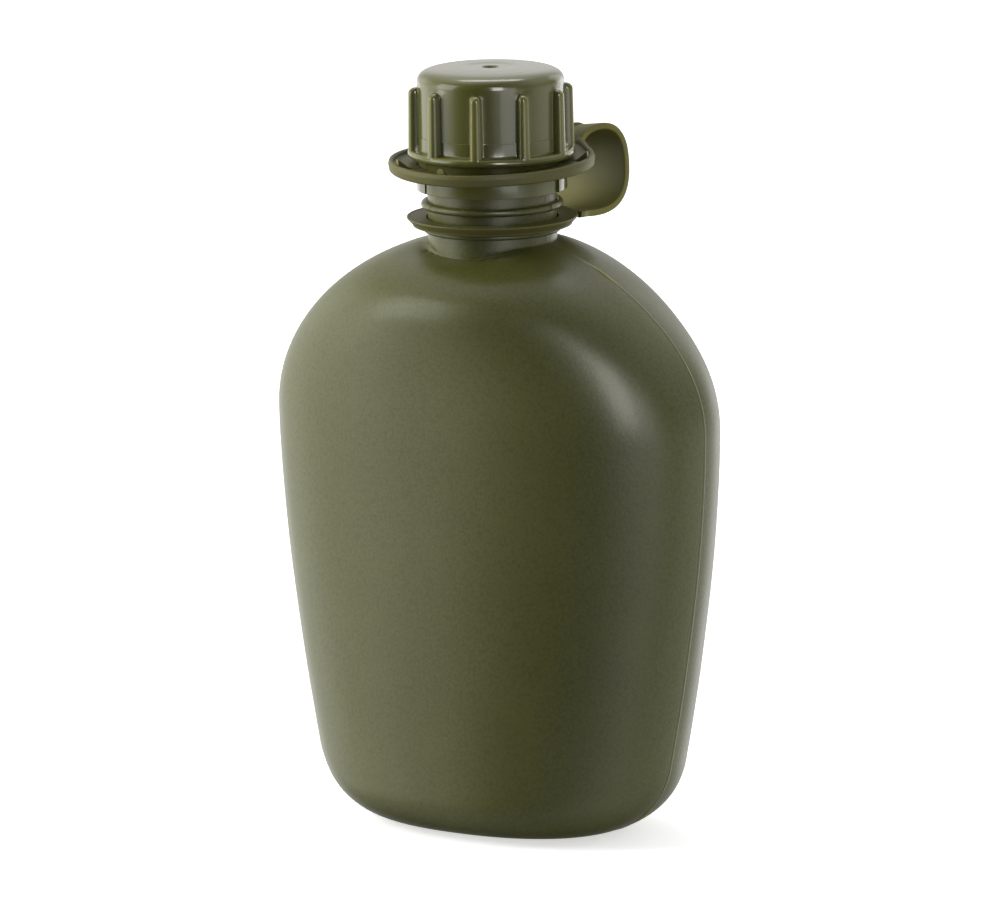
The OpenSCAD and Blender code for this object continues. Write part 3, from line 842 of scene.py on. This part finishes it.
def grain_group():
    """Moulded grain: pebbles from a smooth cell pattern, broken up by noise, as a height from 0 to 1, and a mottle."""
    group, given, result = new_group("moulded grain", {"Scale": 900.0, "Pebble": 0.6}, ("Height", "Mottle"))
    scale, pebble = given.outputs[:2]
    place = add_node(group, "TexCoord", {}).outputs["Object"]
    warp = add_node(group, "TexNoise", {"Vector": place, "Scale": 420.0, "Detail": 2.0}).outputs["Color"]
    shift = add_node(group, "VectorMath", {0: warp, 1: (0.0009,) * 3, 2: place}, operation="MULTIPLY_ADD").outputs[0]
    cells = add_node(
        group, "TexVoronoi", {"Vector": shift, "Scale": scale, "Smoothness": 0.6}, feature="SMOOTH_F1"
    ).outputs["Distance"]
    fine = noise(group, place, calc(group, "MULTIPLY", scale, 1.9), 3.0, Roughness=0.6)
    pebbles = calc(group, "MULTIPLY", calc(group, "SUBTRACT", 1.0, cells), pebble)
    rest = calc(group, "MULTIPLY", fine, calc(group, "SUBTRACT", 1.0, pebble))
    mottle = noise(group, place, 26.0, 4.0, Roughness=0.55)
    feed(result, {"Height": calc(group, "ADD", pebbles, rest), "Mottle": mottle})


def wear_group():
    """Handling marks: fine crossing hairlines and rubbed patches, as masks from 0 to 1."""
    group, given, result = new_group("handling marks", {"Amount": 0.5}, ("Hairlines", "Rubbed"))
    amount = given.outputs[0]
    place = add_node(group, "TexCoord", {}).outputs["Object"]
    lines = None
    for turn, size in (((0.3, 0.2, 0.5), (1.0, 34.0, 1.0)), ((0.9, -0.4, 1.9), (1.0, 41.0, 1.0))):
        drawn_out = add_node(group, "Mapping", {"Vector": place, "Rotation": turn, "Scale": size}).outputs[0]
        line = calc(group, "SUBTRACT", noise(group, drawn_out, 55.0, 2.0), 0.69)
        line = calc(group, "MULTIPLY", line, 14.0, clamp=True)
        lines = line if lines is None else calc(group, "MAXIMUM", lines, line)
    hairlines = calc(group, "MULTIPLY", lines, amount)
    patches = calc(group, "SUBTRACT", noise(group, place, 60.0, 5.0, Roughness=0.65), 0.55)
    rubbed = calc(group, "MULTIPLY", calc(group, "MULTIPLY", patches, 4.0, clamp=True), amount)
    feed(result, {"Hairlines": hairlines, "Rubbed": rubbed})


def shade(colour, factor=1.0):
    """A colour made lighter or darker, with its alpha."""
    return (*(c * factor for c in colour[:3]), 1.0)


def plastic(name, colour, edge_glow_colour, grain_size, grain_depth, rough, pebble, marks, edge_glow_share, gloss):
    """Moulded plastic: mottled colour, grain in its bump, roughness and painted shade, handling marks, and a painted
    glow on thin edges.

    gloss is its specular level, its coat's weight and its coat's roughness.
    """
    material = bpy.data.materials.new(name)
    material.use_nodes = True
    tree = material.node_tree
    groups = bpy.data.node_groups
    grain = {"Scale": 1 / grain_size, "Pebble": pebble}
    height, mottle = add_node(tree, "Group", grain, node_tree=groups["moulded grain"]).outputs
    hairlines, rubbed = add_node(tree, "Group", {"Amount": marks}, node_tree=groups["handling marks"]).outputs

    base = mix_colour(tree, mottle, shade(colour, 0.88), shade(colour, 1.12))
    # Painted shade: the grain's hollows are darkened and its pebbles lightened in the base colour, standing in for
    # occlusion
    grain_shade = calc(tree, "MULTIPLY", calc(tree, "SUBTRACT", height, 0.56), pebble)
    grain_shaded = add_node(tree, "HueSaturation", {"Value": calc(tree, "ADD", grain_shade, 1.0), "Color": base}).outputs["Color"]
    worn = mix_colour(tree, rubbed, grain_shaded, shade(colour, 1.3))
    # Painted glow: where the thin attribute is high the colour turns lighter, standing in for light shining through
    # thin plastic
    edge_glow_mask = add_node(tree, "Attribute", {}, attribute_name="thin").outputs["Fac"]
    thin = calc(tree, "MULTIPLY", edge_glow_mask, edge_glow_share, clamp=True)

    uneven = calc(tree, "MULTIPLY", calc(tree, "SUBTRACT", mottle, 0.5), 0.16)
    lined = calc(tree, "MULTIPLY", hairlines, 0.12)
    smoothed = calc(tree, "MULTIPLY", rubbed, -0.05)
    total = calc(tree, "ADD", calc(tree, "ADD", uneven, lined), calc(tree, "ADD", smoothed, rough))
    scratched = calc(tree, "SUBTRACT", height, calc(tree, "MULTIPLY", hairlines, 0.2))
    bump = add_node(tree, "Bump", {"Distance": grain_depth, "Strength": 1.0, "Height": scratched})
    feed(tree.nodes["Principled BSDF"], {
        "IOR": 1.5,
        **dict(zip(("Specular IOR Level", "Coat Weight", "Coat Roughness"), gloss)),
        "Base Color": mix_colour(tree, thin, worn, shade(edge_glow_colour)),
        "Roughness": total,
        "Normal": bump.outputs["Normal"],
    })
    return material


def finish(name):
    """A finish by name, made on its first use."""
    known = bpy.data.materials.get(name)
    if known:
        return known
    s = bpy.context.scene.canteen_finish
    if "moulded grain" not in bpy.data.node_groups:
        grain_group()
        wear_group()
    # Each finish's colour, the lighter colour of its painted glow on thin edges, its grain size and grain depth
    colour, thin, size, depth = {
        "body_plastic_finish": (s.body_colour, s.flash_glow_colour, s.grain_size, s.grain_depth),
        "cap_plastic_finish": (s.cap_colour, s.edge_glow_colour, 0.9 * MM, 0.004 * MM),
        "strap_plastic_finish": (s.strap_colour, s.edge_glow_colour, 0.8 * MM, 0.012 * MM),
        "gasket_rubber_finish": (s.gasket_colour, shade(s.gasket_colour, 2.0), 0.45 * MM, 0.02 * MM),
    }[name]
    material = plastic(name, colour, thin, size, depth, *FINISHES[name])
    if name == "gasket_rubber_finish":
        feed(material.node_tree.nodes["Principled BSDF"], {"Sheen Weight": 0.15})
    return material


# -------- operators


class CANTEEN_OT_bottle(bpy.types.Operator):
    """Builds the bottle: body, neck with its beads and thread, lip, bore and inside"""

    bl_idname = "canteen.bottle"
    bl_label = "Bottle"

    def execute(self, context):
        s = context.scene.canteen_shape
        rings, thin = bottle_grid(s.flash_height / MM, s.base_dish / MM)
        put(grid_mesh("canteen_bottle", rings, thin), "bottle", ["bottle", "bottle_neck"], "body_plastic")
        return {"FINISHED"}


class CANTEEN_OT_cap(bpy.types.Operator):
    """Builds the screw cap with its ribs, flange, slots, thread and gate mark"""

    bl_idname = "canteen.cap"
    bl_label = "Screw cap"

    def execute(self, context):
        rings, crest_glow = cap_grid()
        # Mask of the painted glow: convex edges at half strength and the rib crests in full
        mesh = grid_mesh("ribbed_cap", rings, np.maximum(0.5 * convexity(rings), crest_glow), sharp=50)
        merge_points(mesh)
        put(mesh, "cap", ["screw_cap"], "cap_plastic")
        return {"FINISHED"}


class CANTEEN_OT_gasket(bpy.types.Operator):
    """Builds the gasket, with the mark that the lip has pressed into it"""

    bl_idname = "canteen.gasket"
    bl_label = "Gasket"

    def execute(self, context):
        low, high, edge = GASKET_LOW[2], GASKET_HIGH[2], GASKET_HIGH[0]
        outline = [(0.4, low), (8.0, low), (BORE_R - 0.5, low), (BORE_R - 0.1, low + 0.1)]
        outline += [(UPPER_NECK_R + 0.1, low + 0.1), (UPPER_NECK_R + 0.5, low), (edge, low), (edge, high)]
        outline += [(UPPER_NECK_R, high), (8.0, high), (0.4, high)]
        profile = rounded(outline, [0, 0, 0.3, 0.1, 0.1, 0.2, 0.35, 0.35, 0, 0, 0], 4)
        angles = evenly(144)
        r, z = spread(profile, angles)
        rings = turned(r, angles, z)
        # Convex edges of the gasket get a painted glow, a lighter colour standing in for an edge highlight
        put(grid_mesh("sealing_disc", rings, convexity(rings)), "seal", ["cap_gasket"], "gasket_rubber")
        return {"FINISHED"}


class CANTEEN_OT_strap(bpy.types.Operator):
    """Builds the retaining strap: the ring on the cap, the ring on the neck and the looped band between them"""

    bl_idname = "canteen.strap"
    bl_label = "Retaining strap"

    def execute(self, context):
        s = context.scene.canteen_shape
        width = s.band_width / MM
        rings = cap_ring_grid(s.band_high_turn, width)
        # Convex edges of the ring get a painted glow, a lighter colour standing in for light through thin plastic
        mesh = grid_mesh("strap_ring_on_cap", rings, convexity(rings, True), loop=True)
        put(mesh, "cap_ring", ["strap_cap_ring"], "strap_plastic")

        rings = neck_ring_grid()
        # Convex edges of the ring get a painted glow, a lighter colour standing in for light through thin plastic
        mesh = grid_mesh("strap_ring_on_neck", rings, convexity(rings, True), loop=True)
        put(mesh, "strap", ["strap_neck_ring"], "strap_plastic")

        mesh = grid_mesh("strap_loop", *band_grid(width, s.band_low_turn, s.band_high_turn, s.band_twist))
        band = put(mesh, None, ["strap_band"], "strap_plastic")
        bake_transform(band)
        return {"FINISHED"}


def put_facing(data, right, up, back, place):
    """Object of a camera or a light at a place, with its own three axes given in the world."""
    obj = add_object(data)
    matrix = np.eye(4)
    matrix[:3, 0], matrix[:3, 1], matrix[:3, 2], matrix[:3, 3] = right, up, back, place
    obj.matrix_world = matrix.T.tolist()
    return obj


def area_light(name, angle, height, distance, size, power, share):
    """Soft rectangular light at an angle from the front, turned to AIM; it lights surfaces, reflections or both."""
    data = bpy.data.lights.new(name, "AREA")
    data.shape = "RECTANGLE"
    data.size, data.size_y = size
    data.energy = power
    place = np.array([math.sin(angle) * distance, -math.cos(angle) * distance, height])
    back = (place - AIM) / np.linalg.norm(place - AIM)
    right = np.cross([0, 0, 1.0], back)
    right /= np.linalg.norm(right)
    lamp = put_facing(data, right, np.cross(back, right), back, place)
    lamp.visible_diffuse = share != "glossy"
    lamp.visible_glossy = share != "diffuse"


def glow_group():
    """Soft patch of light in the surround: strength times e to the power sharpness * (cosine of angle off it - 1)."""
    group, given, result = new_group("soft glow", {"Sharpness": 10.0, "Strength": 1.0}, ("Light",))
    group.interface.new_socket("Direction", in_out="INPUT", socket_type="NodeSocketVector")
    sharpness, strength, direction = given.outputs[:3]
    place = add_node(group, "TexCoord", {}).outputs["Generated"]
    cosine = add_node(group, "VectorMath", {0: place, 1: direction}, operation="DOT_PRODUCT").outputs["Value"]
    off = calc(group, "SUBTRACT", cosine, 1.0)
    fall = calc(group, "EXPONENT", calc(group, "MULTIPLY", off, sharpness), 0.0)
    feed(result, {"Light": calc(group, "MULTIPLY", fall, strength)})
    return group


def surround(scene, camera_turn):
    """Pale surround: white where the camera sees it, and the sum of the soft patches of light everywhere else."""
    world = bpy.data.worlds.new("surround")
    world.use_nodes = True
    scene.world = world
    tree = world.node_tree
    group = glow_group()
    total = 0.0
    for elevation, sharpness, strengths in GLOWS:
        rise, reach = math.sin(math.radians(elevation)), math.cos(math.radians(elevation))
        for turn, strength in strengths.items():
            a = camera_turn + math.radians(turn)
            direction = (math.sin(a) * reach, -math.cos(a) * reach, rise)
            glow = {"Sharpness": sharpness, "Strength": strength, "Direction": direction}
            total = calc(tree, "ADD", total, add_node(tree, "Group", glow, node_tree=group).outputs["Light"])
    seen = add_node(tree, "LightPath", {}).outputs["Is Camera Ray"]
    hidden = calc(tree, "MULTIPLY", total, calc(tree, "SUBTRACT", 1.0, seen))
    feed(tree.nodes["Background"], {"Color": WHITE, "Strength": calc(tree, "ADD", hidden, seen)})


def pale_floor():
    """Plain floor just below the canteen, which only the camera sees and which takes its shadow."""
    mesh = bpy.data.meshes.new("floor")
    corners = [(x * FLOOR_HALF, y * FLOOR_HALF, 0) for x, y in ((-1, -1), (1, -1), (1, 1), (-1, 1))]
    mesh.from_pydata(corners, [], [range(4)])
    floor = add_object(mesh)
    floor.location.z = -0.02 * MM
    pale = bpy.data.materials.new("pale_floor")
    pale.use_nodes = True
    look = {"Base Color": FLOOR_COLOUR, "Roughness": 0.9, "Emission Color": WHITE, "Emission Strength": FLOOR_GLOW}
    feed(pale.node_tree.nodes["Principled BSDF"], look)
    mesh.materials.append(pale)
    floor.visible_glossy = False
    floor.visible_diffuse = False
    return floor


class CANTEEN_OT_stage(bpy.types.Operator):
    """Builds the camera, a plain pale floor, the surround and the soft studio lights"""

    bl_idname = "canteen.stage"
    bl_label = "Stage"

    def execute(self, context):
        scene = context.scene
        s = scene.canteen_stage
        sin_a, cos_a = math.sin(s.azimuth), math.cos(s.azimuth)
        sin_e, cos_e = math.sin(s.elevation), math.cos(s.elevation)
        forward = np.array([-sin_a * cos_e, cos_a * cos_e, -sin_e])
        right = np.array([cos_a, sin_a, 0.0])
        up = np.cross(right, forward)
        c, r = math.cos(s.roll), math.sin(s.roll)
        right, up = c * right - r * up, r * right + c * up
        middle = np.array([0, 0, VIEW_Z * MM]) + VIEW_SHIFT[0] * MM * right + VIEW_SHIFT[1] * MM * up
        camera = bpy.data.cameras.new("camera")
        camera.lens = s.lens
        camera.sensor_width = 36.0
        scene.camera = put_facing(camera, right, up, -forward, middle - forward * s.distance)
        floor = pale_floor()
        surround(scene, s.azimuth)
        for name, turn, *rest in SOFTBOXES:
            area_light(name, s.azimuth + math.radians(turn), *rest)
        scene.view_settings.view_transform = "Standard"
        return {"FINISHED"}


class CANTEEN_PT_sidebar(bpy.types.Panel):
    bl_label = "Field canteen"
    bl_idname = "CANTEEN_PT_sidebar"
    bl_space_type = "VIEW_3D"
    bl_region_type = "UI"
    bl_category = "Canteen"

    def draw(self, context):
        layout = self.layout
        for operator in OPERATORS:
            layout.operator(operator.bl_idname)
        for label in SETTINGS:
            settings = getattr(context.scene, label)
            box = layout.box()
            for key in settings.__annotations__:
                box.prop(settings, key)


SETTINGS = {
    "canteen_shape": CanteenShapeSettings,
    "canteen_finish": CanteenFinishSettings,
    "canteen_stage": CanteenStageSettings,
}
OPERATORS = (CANTEEN_OT_bottle, CANTEEN_OT_cap, CANTEEN_OT_gasket, CANTEEN_OT_strap, CANTEEN_OT_stage)


def register():
    for label, settings in SETTINGS.items():
        bpy.utils.register_class(settings)
        setattr(bpy.types.Scene, label, bpy.props.PointerProperty(type=settings))
    for operator in OPERATORS:
        bpy.utils.register_class(operator)
    bpy.utils.register_class(CANTEEN_PT_sidebar)


def unregister():
    bpy.utils.unregister_class(CANTEEN_PT_sidebar)
    for operator in reversed(OPERATORS):
        bpy.utils.unregister_class(operator)
    for label, settings in SETTINGS.items():
        delattr(bpy.types.Scene, label)
        bpy.utils.unregister_class(settings)


def main():
    register()
    bpy.ops.canteen.bottle()
    bpy.ops.canteen.cap()
    bpy.ops.canteen.gasket()
    bpy.ops.canteen.strap()
    bpy.ops.canteen.stage()
    bpy.context.view_layer.update()


if __name__ == "__main__":
    main()
